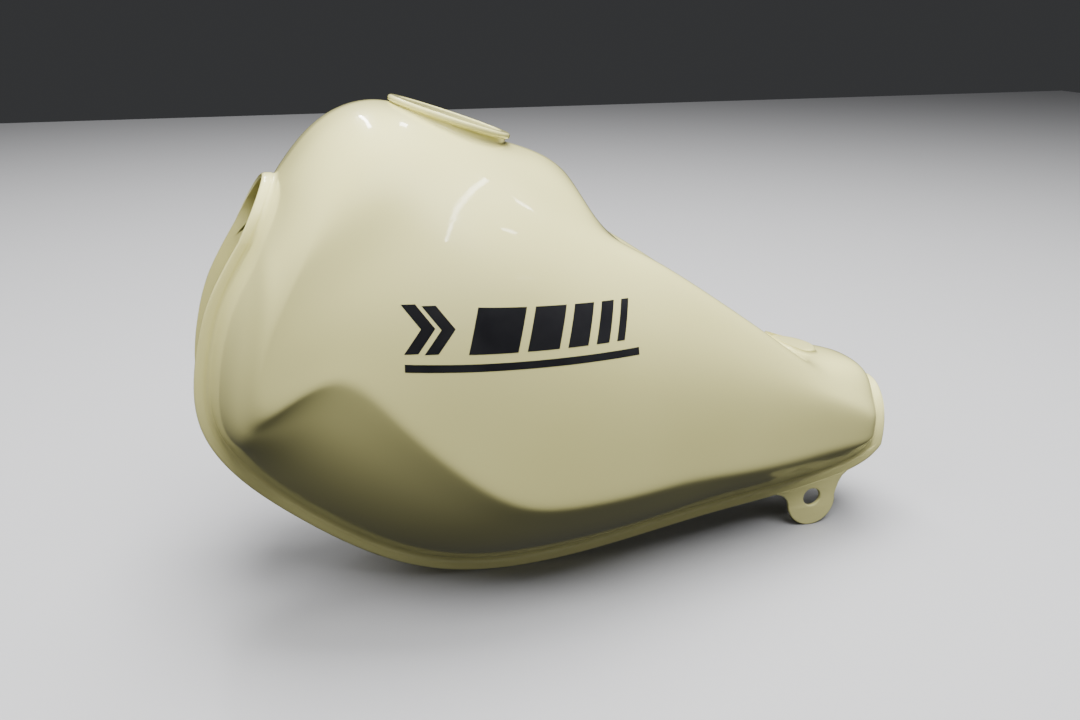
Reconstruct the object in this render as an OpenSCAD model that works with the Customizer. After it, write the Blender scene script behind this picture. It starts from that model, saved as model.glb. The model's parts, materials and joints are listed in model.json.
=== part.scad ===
// Saddle fuel tank of a small motorcycle, bare of its cap and tap.
// Millimetres. +X to the rear, +Y to the rider's right, +Z up, Z = 0 where the tank stands.
// Two pressed side shells meet on the centre plane, and a pressed tunnel closes them from
// below. All three end in a pinch-welded seam flange that runs round the whole underside.

/* [Sheet metal] */
// Thickness of the pressed sheet
sheet_t = 1; // [0.8:0.1:1.2]
// Width of the seam flange
flange_w = 8; // [6:0.5:10]
// Half width of the tunnel, to the outer face of the seam flange
tunnel_half_w = 31; // [29:0.5:33]
// Gap left between the welded sheets for paint and sealer
lap_gap = 0.4; // [0.3:0.1:0.6]

/* [Filler] */
// Inner radius of the filler neck
neck_bore_r = 29.5; // [27:0.5:30]
// Wall of the filler neck
neck_wall = 1.5; // [1:0.25:2]
// Outer radius of the collar's bead
collar_r = 35.5; // [34:0.5:37]
// Height of the collar above the shell
collar_rise = 5; // [3:0.5:7]
// Thickness of the rolled bead on the collar
bead_t = 3.5; // [3:0.25:4]
// Length of the neck below the collar's top
neck_depth = 26; // [18:1:30]
// Backward tilt of the filler, in degrees
filler_tilt = 19; // [18:0.5:21]

/* [Mounts] */
// Radius of the hole in the rear ear
ear_hole_r = 6; // [5:0.5:7]
// Radius of the round end of the rear ear
ear_r = 17; // [16:0.5:18]
// Radius of the round locating boss on the tail
boss_r = 17; // [14:0.5:18]
// Height of the locating boss above the shell
boss_rise = 3.5; // [2:0.5:5]
// Radius inside the front mounting channels
channel_r = 14; // [12:0.5:15]
// Depth of the front mounting channels
channel_depth = 11; // [8:0.5:13]
// Outer radius of the fuel outlet bung
bung_r = 12; // [11:0.5:13]
// Radius of the threaded hole in the bung
bung_bore_r = 7; // [6:0.5:8]

/* [Graphics] */
// Thickness of the side graphics film
film_t = 0.2; // [0.1:0.05:0.3]

/* [Hidden] */

PAINT = [0.87, 0.85, 0.73];
FILM = [0.06, 0.06, 0.07];
w = tunnel_half_w;
eps = 0.01;

// ---- The lines of one side, front to rear -------------------------------------------------
// Each station is a rib from the centre line, over the shoulder and the belt, down to the
// flange root: [centre, dome edge, valley, shoulder, upper side, side, belt, underside, root].
crown_front = [-164, 244];
spring_front = [-180, 213];
crown_rear = [210, 90];
spring_rear = [204, 52];
STATIONS = [
  [[-158,0,252], [-158,15,251], [-160,26,247], [-163,35,241], [-166,42,232], [-171,45,223],
   [-177,44,213], [-183,38,205], [-189,w,199]],
  [[-146,0,267], [-146,18,266], [-148,34,261], [-151,48,252], [-156,60,240], [-164,68,224],
   [-176,68,208], [-188,50,192], [-199,w,181]],
  [[-128,0,279], [-128,21,278], [-130,40,272], [-134,58,261], [-141,73,245], [-152,83,222],
   [-178,83,184], [-196,58,168], [-206,w,158]],
  [[-106,0,283], [-107,23,282], [-110,44,277], [-116,65,263], [-124,82,240], [-166,83,202],
   [-186,83,152], [-203,61,134], [-211,w,132]],
  [[-86,0,276], [-87,24,276], [-91,44,272], [-98,68,257], [-107,86,232], [-162,87,188],
   [-187,83,123], [-202,62,105], [-209,w,108]],
  [[-68,0,268], [-68,24,268], [-71,43,265], [-79,68,250], [-87,91,225], [-118,98,194],
   [-146,95,166], [-173,70,98], [-192,w,82]],
  [[-50,0,261], [-50,24,261], [-53,43,256], [-60,68,241], [-66,94,216], [-79,107,181],
   [-120,105,133], [-142,68,72], [-160,w,54]],
  [[-32,0,255], [-32,24,253], [-35,42,244], [-40,66,232], [-45,92,207], [-55,106,168],
   [-87,108,99], [-104,68,44], [-120,w,25]],
  [[-14,0,249], [-14,24,245], [-16,40,230], [-20,63,221], [-24,88,197], [-32,104,158],
   [-54,107,73], [-66,66,29], [-78,w,9]],
  [[4,0,236], [4,23,229], [4,38,217], [2,58,210], [-1,83,186], [-6,99,148],
   [-14,101,70], [-22,64,29], [-30,w,7]],
  [[14,0,212], [14,22,209], [15,36,205], [18,52,206], [20,76,178], [20,92,140],
   [24,92,69], [18,60,31], [14,w,12.5]],
  [[40,0,189], [40,20,188], [41,34,189], [44,48,195], [46,69,168], [48,82,132],
   [52,81,68], [52,56,34], [50,w,19]],
  [[80,0,161], [80,20,161], [81,34,162], [83,46,168], [85,61,145], [86,71,118],
   [88,71,63], [88,50,41], [88,w,26]],
  [[120,0,133], [120,18,133], [121,32,134], [122,42,140], [124,53,123], [125,60,104],
   [127,60,60], [127,46,42], [127,w,31]],
  [[155,0,115], [155,16,115], [156,28,113], [158,39,109], [160,46,101], [161,51,95],
   [162,50,60], [162,40,47], [162,w,37]],
  [[188,0,111], [188,14,111], [189,25,106], [190,35,92], [191,41,85],
   [191,43,78], [191,43,60], [191,37,52], [191,w,44]],
  [[208,0,102], [208,12,102], [208,22,97], [207,31,80], [206,35,75],
   [206,37,70], [205,36,59], [204.5,33,57], [204,w,52]],
];
// How far the extra rows beside the belt lie from it: less makes the belt crease sharper. The
// front lobe, whose belt lies ahead of lobe_x, has the softer one.
belt_crease = 8;
lobe_crease = 22;
lobe_x = -160;

ribs = 45;
rows = 25;

// ---- Curves and surfaces ------------------------------------------------------------------
function unit(v) = v / norm(v);
function clamp01(t) = max(0, min(1, t));
function smooth(t) = clamp01(t) * clamp01(t) * (3 - 2 * clamp01(t));
function mix(a, b, t) = a + (b - a) * t;
function arc(c, r, a0, a1, n) = [for (k = [0:n]) let (a = mix(a0, a1, k / n))
                                 [c.x + r * cos(a), c.y + r * sin(a)]];

// Uniform cubic B-spline weights, clamped at both ends
function knot(i, n) = clamp01((i - 3) / (n - 3));
function ramp(u, a, b) = a == b ? 0 : (u - a) / (b - a);
function weight(i, k, u, n) =
  k == 0
  ? ((u >= knot(i, n) && u < knot(i + 1, n)) || (u == 1 && i == n - 1) ? 1 : 0)
  : ramp(u, knot(i, n), knot(i + k, n)) * weight(i, k - 1, u, n)
    + (knot(i + k + 1, n) == knot(i + 1, n) ? 0
       : (knot(i + k + 1, n) - u) / (knot(i + k + 1, n) - knot(i + 1, n))
         * weight(i + 1, k - 1, u, n));
function weights(samples, n) =
  [for (s = [0:samples - 1]) [for (i = [0:n - 1]) weight(i, 3, s / (samples - 1), n)]];

// A station with a row added on each side of its belt, which tightens the crease there
function beside(a, b) =
  a + (b - a) * min(0.45, (a.x < lobe_x ? lobe_crease : belt_crease) / norm(b - a));
function full_rib(s) = [s[0], s[1], s[2], s[3], s[4], s[5], beside(s[6], s[5]), s[6],
                        beside(s[6], s[7]), s[7], s[8]];
// The arch that ends the shell at the front or the rear, from its crown to its leg
function arch_rib(crown, spring) =
  [for (j = [0:10]) let (a = 9 * j)
   [mix(crown.x, spring.x, 1 - cos(a)), w * sin(a), mix(crown.y, spring.y, 1 - cos(a))]];
net = concat([arch_rib(crown_front, spring_front)],
             [for (s = STATIONS) full_rib(s)],
             [arch_rib(crown_rear, spring_rear)]);

rib_weights = weights(ribs, len(net));
row_weights = weights(rows, 11);
net_rows = [for (s = net) row_weights * s];
skin = [for (i = [0:ribs - 1])
        [for (j = [0:rows - 1]) rib_weights[i] * [for (s = net_rows) s[j]]]];

last_rib = ribs - 1;
last_row = rows - 1;
function along(i, j) = skin[min(i + 1, last_rib)][j] - skin[max(i - 1, 0)][j];
function across(i, j) = skin[i][min(j + 1, last_row)] - skin[i][max(j - 1, 0)];
// Outward direction of the sheet; it stays in the centre plane on the centre seam, and
// square to the tunnel wall along the flange root and the two arches
function arch_out(p, z0) = unit([0, p.y, max(0, p.z - z0)]);
function sheet_out(i, j) =
  i == 0 ? arch_out(skin[0][j], spring_front.y) :
  i == last_rib ? arch_out(skin[last_rib][j], spring_rear.y) :
  j == last_row ? [0, 1, 0] :
  j == 0 ? unit(let (n = cross(along(i, j), across(i, j))) [n.x, 0, n.z]) :
  unit(cross(along(i, j), across(i, j)));
lining = [for (i = [0:last_rib])
          [for (j = [0:last_row]) skin[i][j] - sheet_t * sheet_out(i, j)]];

// The edge that carries the flange: front arch, leg and underside, rear arch
rim = concat([for (j = [0:last_row]) [0, j]],
             [for (i = [1:last_rib]) [i, last_row]],
             [for (j = [last_row - 1:-1:0]) [last_rib, j]]);
last_rim = len(rim) - 1;
function square_to(t) = unit([t.z, 0, -t.x]);
function root_out(i) =
  let (d = square_to(along(i, last_row)), front = smooth(1 - i / 6),
       rear = smooth(1 - (last_rib - i) / 3))
  unit(mix(mix(d, [-1, 0, 0], front), [1, 0, 0], rear));
function rim_out(k) =
  k < last_row ? [-1, 0, 0] :
  k > last_row + last_rib ? [1, 0, 0] : root_out(k - last_row);
rim_edge = [for (k = [0:last_rim]) skin[rim[k][0]][rim[k][1]] + flange_w * rim_out(k)];
rim_back = [for (k = [0:last_rim]) lining[rim[k][0]][rim[k][1]] + flange_w * rim_out(k)];
// Outer edge of the flange along one leg, front to rear
leg_edge = [for (i = [0:last_rib]) rim_edge[last_row + i]];

function quad(a, b, c, d) = [[a, b, c], [a, c, d]];
// The quads between the first two ribs are split along their other diagonal, which keeps the
// corner by the leg clear of the flange
function patch(i, a, b, c, d) = i == 0 ? quad(b, c, d, a) : quad(a, b, c, d);
function flatten(l) = [for (a = l) for (b = a) b];

// ---- Pressed parts ------------------------------------------------------------------------
module half_shell() {
  n = ribs * rows;
  e = 2 * n;
  g = e + last_rim + 1;
  function o(i, j) = i * rows + j;
  function ro(k) = o(rim[k][0], rim[k][1]);
  faces = concat(
    flatten([for (i = [0:last_rib - 1]) for (j = [0:last_row - 1])
      patch(i, o(i, j), o(i, j + 1), o(i + 1, j + 1), o(i + 1, j))]),
    flatten([for (i = [0:last_rib - 1]) for (j = [0:last_row - 1])
      patch(i, n + o(i, j), n + o(i + 1, j), n + o(i + 1, j + 1), n + o(i, j + 1))]),
    flatten([for (i = [0:last_rib - 1])
      quad(o(i, 0), o(i + 1, 0), n + o(i + 1, 0), n + o(i, 0))]),
    flatten([for (k = [0:last_rim - 1]) quad(ro(k), e + k, e + k + 1, ro(k + 1))]),
    flatten([for (k = [0:last_rim - 1]) quad(n + ro(k), n + ro(k + 1), g + k + 1, g + k)]),
    flatten([for (k = [0:last_rim - 1]) quad(e + k, g + k, g + k + 1, e + k + 1)]),
    quad(e, ro(0), n + ro(0), g),
    quad(ro(last_rim), e + last_rim, g + last_rim, n + ro(last_rim)));
  polyhedron(points = concat(flatten(skin), flatten(lining), rim_edge, rim_back),
             faces = faces);
}

module at_filler() {
  translate(filler_pos) rotate([0, filler_tilt, 0]) children();
}
module at_boss() {
  translate(boss_pos) rotate([0, boss_tilt, 0]) children();
}
filler_pos = [-68, 0, 270.5];
collar_depth = 9;
boss_pos = [155, 0, 115];
boss_tilt = 8;
boss_depth = 9;

module side_shell() {
  difference() {
    half_shell();
    at_filler() translate([0, 0, -collar_depth - 20])
      cylinder(r = wall_r, h = collar_depth + 40, $fn = 96);
    at_boss() translate([0, 0, -boss_depth - 8]) cylinder(r = boss_r, h = 30, $fn = 64);
  }
}

module shell_right() {
  color(PAINT)
    difference() {
      side_shell();
      at_bung() translate([0, 0, -30]) cylinder(r = bung_r, h = 60, $fn = 64);
    }
}

module shell_left() {
  color(PAINT) mirror([0, 1, 0]) side_shell();
}

// The tunnel: an arched roof between two flat walls, all inside the shells' flanges
tunnel_w = w - sheet_t - lap_gap;
roof_drop = sheet_t + lap_gap;
ROOF = [[-160,244], [-150,244], [-132,231], [-100,208], [-50,176], [0,146], [60,116],
        [120,96], [160,89], [190,90], [204,90]];
roof_weights = weights(ribs - 2, len(ROOF));
roof = [for (i = [0:last_rib - 2]) roof_weights[i] * ROOF - [0, roof_drop]];
arch_steps = 8;

// Point of a tunnel rib: j runs over the arch from the roof line to the leg, then the edge
function tunnel_point(i, j, t) =
  let (a = 90 * j / arch_steps, r = tunnel_w - t, edge = leg_edge[i],
       front = i < 2, rear = i > last_rib - 2,
       crown = front ? crown_front : crown_rear,
       lean = front ? spring_front.x - crown.x : spring_rear.x - crown.x,
       ends = i == 0 || i == last_rib,
       shift = (front ? -1 : 1) * (ends ? flange_w : -4),
       line = [roof[max(0, min(i - 1, last_rib - 2))].x, roof[max(0, min(i - 1, last_rib - 2))].y],
       d = [edge.x, edge.z] - line,
       step = d * tunnel_w / abs(d.y) * (front || rear ? 0 : 1))
  j > arch_steps ? [edge.x, r, edge.z - (i == 0 ? 1 : 0)] :
  front || rear
  ? [crown.x + shift + lean * (1 - cos(a)), r * sin(a),
     crown.y - roof_drop - t - (tunnel_w - t) * (1 - cos(a))]
  : [line.x + step.x * (1 - cos(a)), r * sin(a), line.y - t + (step.y + t) * (1 - cos(a))];

module tunnel_panel() {
  span = 2 * arch_steps + 3;
  half = arch_steps + 1;
  n = ribs * span;
  function flip(p) = [p.x, -p.y, p.z];
  function rib(i, t) = concat(
    [for (j = [half:-1:1]) flip(tunnel_point(i, j, t))],
    [for (j = [0:half]) tunnel_point(i, j, t)]);
  function o(i, j) = i * span + j;
  s = span - 1;
  faces = concat(
    flatten([for (j = [0:s - 1])
      quad(o(last_rib, j), o(last_rib, j + 1), n + o(last_rib, j + 1), n + o(last_rib, j))]),
    flatten([for (j = [0:s - 1]) quad(o(0, j), n + o(0, j), n + o(0, j + 1), o(0, j + 1))]),
    flatten([for (i = [0:last_rib - 1])
      quad(o(i, s), n + o(i, s), n + o(i + 1, s), o(i + 1, s))]),
    flatten([for (i = [0:last_rib - 1])
      quad(o(i, 0), o(i + 1, 0), n + o(i + 1, 0), n + o(i, 0))]),
    flatten([for (i = [0:last_rib - 1]) for (j = [0:s - 1])
      quad(n + o(i, j), n + o(i + 1, j), n + o(i + 1, j + 1), n + o(i, j + 1))]),
    flatten([for (i = [0:last_rib - 1]) for (j = [0:s - 1])
      quad(o(i, j), o(i, j + 1), o(i + 1, j + 1), o(i + 1, j))]));
  color(PAINT)
    polyhedron(points = concat(flatten([for (i = [0:last_rib]) rib(i, 0)]),
                               flatten([for (i = [0:last_rib]) rib(i, sheet_t)])),
               faces = faces);
}

// ---- Filler -------------------------------------------------------------------------------
neck_r = neck_bore_r + neck_wall;
collar_top = collar_rise / 2;

// A plain wall under a bead that is rolled outward over it and covers the neck's top edge
wall_r = neck_r + 2.5;
module filler_collar() {
  outer = bead_t / 2;
  inner = 0.8;
  color(PAINT) at_filler() rotate_extrude($fn = 96)
    polygon(concat(
      [[neck_r, -collar_depth], [wall_r, -collar_depth], [wall_r, collar_top - bead_t]],
      arc([collar_r - outer, collar_top - outer], outer, -90, 90, 16),
      arc([neck_bore_r + inner, collar_top - inner], inner, 90, 180, 6),
      [[neck_bore_r, collar_top - bead_t], [neck_r, collar_top - bead_t]]));
}

module filler_neck() {
  length = neck_depth - bead_t;
  color(PAINT) at_filler() translate([0, 0, collar_top - neck_depth])
    difference() {
      cylinder(r = neck_r, h = length, $fn = 96);
      translate([0, 0, -1]) cylinder(r = neck_bore_r, h = length + 2, $fn = 96);
    }
}

// Inward lip with two notches, which a bayonet cap's tongues pass and turn under
lip_r = 25;
lip_t = 1.5;
lip_drop = 5;
notch_w = 14;
notch_reach = neck_bore_r - 1.5;
module neck_cam_lip() {
  color(PAINT) at_filler() translate([0, 0, collar_top - lip_drop])
    difference() {
      cylinder(r = neck_bore_r, h = lip_t, $fn = 96);
      translate([0, 0, -1]) cylinder(r = lip_r, h = lip_t + 2, $fn = 96);
      translate([-notch_w / 2, -notch_reach, -1]) cube([notch_w, 2 * notch_reach, lip_t + 2]);
    }
}

// ---- Mounts -------------------------------------------------------------------------------
ear_hole_pos = [163, 20];
ear_end_x = 163;
ear_t = 2 * sheet_t + lap_gap;
ear_span = [140, 192];
ear_root = [for (p = leg_edge) if (p.x > ear_span[0] && p.x < ear_span[1]) [p.x, p.z]];

module rear_ear() {
  // Rear side, round end, then the hollow fillet that runs up to the flange in front
  end = [ear_end_x, ear_r];
  fillet_r = 10;
  fillet_z = 14.6;
  fillet = [end.x - sqrt(pow(ear_r + fillet_r, 2) - pow(end.y - fillet_z, 2)), fillet_z];
  meet = atan2(end.y - fillet.y, end.x - fillet.x);
  outline = concat(
    ear_root,
    [[end.x + ear_r + 4, 32.5], [end.x + ear_r + 1, 26.5]],
    arc(end, ear_r, 10, meet - 180, 24),
    arc(fillet, fillet_r, meet, 90, 8));
  color(PAINT) translate([0, -w, 0]) rotate([90, 0, 0]) mirror([0, 0, 1])
    difference() {
      linear_extrude(ear_t) polygon(outline);
      translate([ear_hole_pos.x, ear_hole_pos.y, -1]) cylinder(r = ear_hole_r, h = ear_t + 2, $fn = 48);
    }
}

module tail_boss() {
  round_r = 2;
  color(PAINT) at_boss() rotate_extrude($fn = 64) {
    translate([0, -boss_depth]) square([boss_r, boss_depth + boss_rise - round_r]);
    translate([0, boss_rise - round_r - eps]) square([boss_r - round_r, round_r + eps]);
    translate([boss_r - round_r, boss_rise - round_r]) circle(r = round_r, $fn = 32);
  }
}

// U-shaped channels on the tunnel walls that slide onto the frame's round rubber buffers
channel_pos = [-176, 166];
channel_wall = 3;
channel_leg = 18;
module front_channel() {
  translate([channel_pos.x, tunnel_w - sheet_t, channel_pos.y]) rotate([90, 0, 0])
    difference() {
      union() {
        cylinder(r = channel_r + channel_wall, h = channel_depth, $fn = 64);
        translate([-channel_leg, -channel_r - channel_wall, 0])
          cube([channel_leg, 2 * (channel_r + channel_wall), channel_depth]);
      }
      translate([0, 0, -1]) cylinder(r = channel_r, h = channel_depth + 2, $fn = 64);
      translate([-channel_leg - 1, -channel_r, -1])
        cube([channel_leg + 1, 2 * channel_r, channel_depth + 2]);
    }
}
module front_channel_right() {
  color(PAINT) front_channel();
}
module front_channel_left() {
  color(PAINT) mirror([0, 1, 0]) front_channel();
}

// Threaded bung for the fuel tap, upright in the right lobe's sloping underside
bung_pos = [-48, 70, 34];
bung_below = 14;
bung_above = 16;
module at_bung() {
  translate(bung_pos) children();
}
module outlet_bung() {
  color(PAINT) at_bung() translate([0, 0, -bung_below])
    difference() {
      cylinder(r = bung_r, h = bung_below + bung_above, $fn = 64);
      translate([0, 0, -1])
        cylinder(r = bung_bore_r, h = bung_below + bung_above + 2, $fn = 48);
    }
}
// Ring brazed round the bung inside the tank, which spreads the tap's load
ring_w = 3;
ring_t = 2;
module bung_backing_ring() {
  color(PAINT) at_bung() translate([0, 0, bung_above - ring_t])
    difference() {
      cylinder(r = bung_r + ring_w, h = ring_t, $fn = 64);
      translate([0, 0, -1]) cylinder(r = bung_r, h = ring_t + 2, $fn = 64);
    }
}

// ---- Side graphics ------------------------------------------------------------------------
// Y of the shell's outer side at (x, z), found in the facet of the side panel that holds it
function area2(a, b, p) = (b.x - a.x) * (p[1] - a.z) - (b.z - a.z) * (p[0] - a.x);
function in_facet(a, b, c, p) =
  let (u = area2(a, b, p), v = area2(b, c, p), q = area2(c, a, p))
  (u >= -eps && v >= -eps && q >= -eps) || (u <= eps && v <= eps && q <= eps);
function facet_y(a, b, c, p) =
  let (t = area2(a, b, [c.x, c.z]))
  (area2(b, c, p) * a.y + area2(c, a, p) * b.y + area2(a, b, p) * c.y) / t;
side_rows = [5, 18];
side_ribs = [9, 34];
function side_y(p) =
  [for (i = [side_ribs[0]:side_ribs[1]]) for (j = [side_rows[0]:side_rows[1]])
   let (a = skin[i][j], b = skin[i][j + 1], c = skin[i + 1][j + 1], d = skin[i + 1][j])
   if (in_facet(a, b, c, p)) facet_y(a, b, c, p)
   else if (in_facet(a, c, d, p)) facet_y(a, c, d, p)][0];

film_gap = 0.15;
// A strip of film between two upright polylines, given bottom to top, that follows the side
module film(left, right, us, vs) {
  rows_up = (len(left) - 1) * vs;
  n = (us + 1) * (rows_up + 1);
  function o(i, j) = i * (rows_up + 1) + j;
  function up(l, j) = let (k = min(floor(j / vs), len(l) - 2)) mix(l[k], l[k + 1], j / vs - k);
  at = [for (i = [0:us]) for (j = [0:rows_up]) mix(up(left, j), up(right, j), i / us)];
  ys = [for (p = at) side_y(p) + film_gap];
  points = concat([for (k = [0:n - 1]) [at[k][0], ys[k], at[k][1]]],
                  [for (k = [0:n - 1]) [at[k][0], ys[k] + film_t, at[k][1]]]);
  faces = concat(
    flatten([for (i = [0:us - 1]) for (j = [0:rows_up - 1])
      quad(o(i, j), o(i, j + 1), o(i + 1, j + 1), o(i + 1, j))]),
    flatten([for (i = [0:us - 1]) for (j = [0:rows_up - 1])
      quad(n + o(i, j), n + o(i + 1, j), n + o(i + 1, j + 1), n + o(i, j + 1))]),
    flatten([for (i = [0:us - 1]) quad(o(i, 0), o(i + 1, 0), n + o(i + 1, 0), n + o(i, 0))]),
    flatten([for (i = [0:us - 1])
      quad(o(i, rows_up), n + o(i, rows_up), n + o(i + 1, rows_up), o(i + 1, rows_up))]),
    flatten([for (j = [0:rows_up - 1])
      quad(o(0, j), n + o(0, j), n + o(0, j + 1), o(0, j + 1))]),
    flatten([for (j = [0:rows_up - 1])
      quad(o(us, j), o(us, j + 1), n + o(us, j + 1), n + o(us, j))]));
  polyhedron(points = points, faces = faces);
}

// The graphic hangs between three lines that fall gently to the rear
graphic_x = -114;
graphic_end = 16;
function line_z(z, fall, x) = z - fall * (x - graphic_x);
function top_z(x) = line_z(192.5, 0.1, x);
function foot_z(x) = line_z(168, 0.06, x);
function stripe_z(x) = line_z(163, 0.058, x);
chevron_w = 7;
chevron_step = 10;
chevron_tip = 9;
bar_widths = [26, 18, 12, 8, 5];
bar_gap = 5;
bar_slant = 6;
bars_x = -82;
stripe_t = 4;

module chevrons() {
  for (k = [0:1]) {
    x = graphic_x + k * chevron_step;
    middle = (top_z(x) + foot_z(x)) / 2;
    left = [[x, foot_z(x)], [x + chevron_tip, middle], [x, top_z(x)]];
    film(left, [for (p = left) [p[0] + chevron_w, p[1]]], 1, 2);
  }
}
function before(l, k) = k == 0 ? 0 : l[k - 1] + bar_gap + before(l, k - 1);
module bar_row() {
  for (k = [0:len(bar_widths) - 1]) {
    x = bars_x + before(bar_widths, k);
    x2 = x + bar_widths[k];
    film([[x, foot_z(x)], [x + bar_slant, top_z(x)]],
         [[x2, foot_z(x2)], [x2 + bar_slant, top_z(x2)]], ceil(bar_widths[k] / 7), 3);
  }
}
module pinstripe() {
  film([[graphic_x, stripe_z(graphic_x) - stripe_t], [graphic_x, stripe_z(graphic_x)]],
       [[graphic_end, stripe_z(graphic_end) - stripe_t], [graphic_end, stripe_z(graphic_end)]],
       18, 1);
}
module mark_right() { color(FILM) chevrons(); }
module mark_left() { color(FILM) mirror([0, 1, 0]) chevrons(); }
module bars_right() { color(FILM) bar_row(); }
module bars_left() { color(FILM) mirror([0, 1, 0]) bar_row(); }
module pinstripe_right() { color(FILM) pinstripe(); }
module pinstripe_left() { color(FILM) mirror([0, 1, 0]) pinstripe(); }

shell_left();
shell_right();
tunnel_panel();
filler_collar();
filler_neck();
neck_cam_lip();
rear_ear();
tail_boss();
front_channel_left();
front_channel_right();
outlet_bung();
bung_backing_ring();
mark_left();
mark_right();
bars_left();
bars_right();
pinstripe_left();
pinstripe_right();
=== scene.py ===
import json
import math

import bmesh
import bpy
import numpy as np
from mathutils import Matrix, Vector
from mathutils.bvhtree import BVHTree
from mathutils.geometry import tessellate_polygon
from mathutils.kdtree import KDTree


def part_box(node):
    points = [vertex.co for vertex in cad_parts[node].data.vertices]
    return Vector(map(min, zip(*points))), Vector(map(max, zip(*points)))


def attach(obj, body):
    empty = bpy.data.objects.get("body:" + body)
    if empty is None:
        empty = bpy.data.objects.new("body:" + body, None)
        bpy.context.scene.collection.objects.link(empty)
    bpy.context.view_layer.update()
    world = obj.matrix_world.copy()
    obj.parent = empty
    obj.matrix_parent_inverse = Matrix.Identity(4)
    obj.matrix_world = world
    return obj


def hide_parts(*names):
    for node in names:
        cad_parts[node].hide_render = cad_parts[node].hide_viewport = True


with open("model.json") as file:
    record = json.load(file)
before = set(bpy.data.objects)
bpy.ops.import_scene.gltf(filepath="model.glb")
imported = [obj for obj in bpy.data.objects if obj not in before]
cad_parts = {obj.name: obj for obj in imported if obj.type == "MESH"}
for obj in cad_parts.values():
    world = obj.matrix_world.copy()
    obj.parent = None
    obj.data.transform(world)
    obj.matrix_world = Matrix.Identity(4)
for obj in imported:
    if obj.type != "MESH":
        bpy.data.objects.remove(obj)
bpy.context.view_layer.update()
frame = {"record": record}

# Looks of the saddle fuel tank. The design's lines are in millimetres, as in the CAD source, and
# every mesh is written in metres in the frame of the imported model.
MM = 0.001

# ---- Driving sizes, in millimetres ----------------------------------------------------------
SHEET = 1.0
FLANGE_WIDTH = 8.0
LAP_GAP = 0.4
TUNNEL_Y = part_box("tunnel_panel")[1].y / MM

CROWN_FRONT = (-164, 244)
SPRING_FRONT = (-180, 213)
CROWN_REAR = (210, 90)
SPRING_REAR = (204, 52)
# Half width to the outer face of the shells' flange
W = TUNNEL_Y + SHEET + LAP_GAP
# Each station is a rib of one side: centre, dome edge, valley, shoulder, upper side, side,
# belt, underside and flange root
STATIONS = [
    [(-158, 0, 252), (-158, 15, 251), (-160, 26, 247), (-163, 35, 241), (-166, 42, 232),
     (-171, 45, 223), (-177, 44, 213), (-183, 38, 205), (-189, W, 199)],
    [(-146, 0, 267), (-146, 18, 266), (-148, 34, 261), (-151, 48, 252), (-156, 60, 240),
     (-164, 68, 224), (-176, 68, 208), (-188, 50, 192), (-199, W, 181)],
    [(-128, 0, 279), (-128, 21, 278), (-130, 40, 272), (-134, 58, 261), (-141, 73, 245),
     (-152, 83, 222), (-178, 83, 184), (-196, 58, 168), (-206, W, 158)],
    [(-106, 0, 283), (-107, 23, 282), (-110, 44, 277), (-116, 65, 263), (-124, 82, 240),
     (-166, 83, 202), (-186, 83, 152), (-203, 61, 134), (-211, W, 132)],
    [(-86, 0, 276), (-87, 24, 276), (-91, 44, 272), (-98, 68, 257), (-107, 86, 232),
     (-162, 87, 188), (-187, 83, 123), (-202, 62, 105), (-209, W, 108)],
    [(-68, 0, 268), (-68, 24, 268), (-71, 43, 265), (-79, 68, 250), (-87, 91, 225),
     (-118, 98, 194), (-146, 95, 166), (-173, 70, 98), (-192, W, 82)],
    [(-50, 0, 261), (-50, 24, 261), (-53, 43, 256), (-60, 68, 241), (-66, 94, 216),
     (-79, 107, 181), (-120, 105, 133), (-142, 68, 72), (-160, W, 54)],
    [(-32, 0, 255), (-32, 24, 253), (-35, 42, 244), (-40, 66, 232), (-45, 92, 207),
     (-55, 106, 168), (-87, 108, 99), (-104, 68, 44), (-120, W, 25)],
    [(-14, 0, 249), (-14, 24, 245), (-16, 40, 230), (-20, 63, 221), (-24, 88, 197),
     (-32, 104, 158), (-54, 107, 73), (-66, 66, 29), (-78, W, 9)],
    [(4, 0, 236), (4, 23, 229), (4, 38, 217), (2, 58, 210), (-1, 83, 186),
     (-6, 99, 148), (-14, 101, 70), (-22, 64, 29), (-30, W, 7)],
    [(14, 0, 212), (14, 22, 209), (15, 36, 205), (18, 52, 206), (20, 76, 178),
     (20, 92, 140), (24, 92, 69), (18, 60, 31), (14, W, 12.5)],
    [(40, 0, 189), (40, 20, 188), (41, 34, 189), (44, 48, 195), (46, 69, 168),
     (48, 82, 132), (52, 81, 68), (52, 56, 34), (50, W, 19)],
    [(80, 0, 161), (80, 20, 161), (81, 34, 162), (83, 46, 168), (85, 61, 145),
     (86, 71, 118), (88, 71, 63), (88, 50, 41), (88, W, 26)],
    [(120, 0, 133), (120, 18, 133), (121, 32, 134), (122, 42, 140), (124, 53, 123),
     (125, 60, 104), (127, 60, 60), (127, 46, 42), (127, W, 31)],
    [(155, 0, 115), (155, 16, 115), (156, 28, 113), (158, 39, 109), (160, 46, 101),
     (161, 51, 95), (162, 50, 60), (162, 40, 47), (162, W, 37)],
    [(188, 0, 111), (188, 14, 111), (189, 25, 106), (190, 35, 92), (191, 41, 85),
     (191, 43, 78), (191, 43, 60), (191, 37, 52), (191, W, 44)],
    [(208, 0, 102), (208, 12, 102), (208, 22, 97), (207, 31, 80), (206, 35, 75),
     (206, 37, 70), (205, 36, 59), (204.5, 33, 57), (204, W, 52)],
]
# How far the extra rows beside the belt lie from it: less makes the belt crease sharper. The
# front lobe, whose belt lies ahead of LOBE_X, has the softer one.
BELT_CREASE = 8
LOBE_CREASE = 22
LOBE_X = -160


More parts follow.
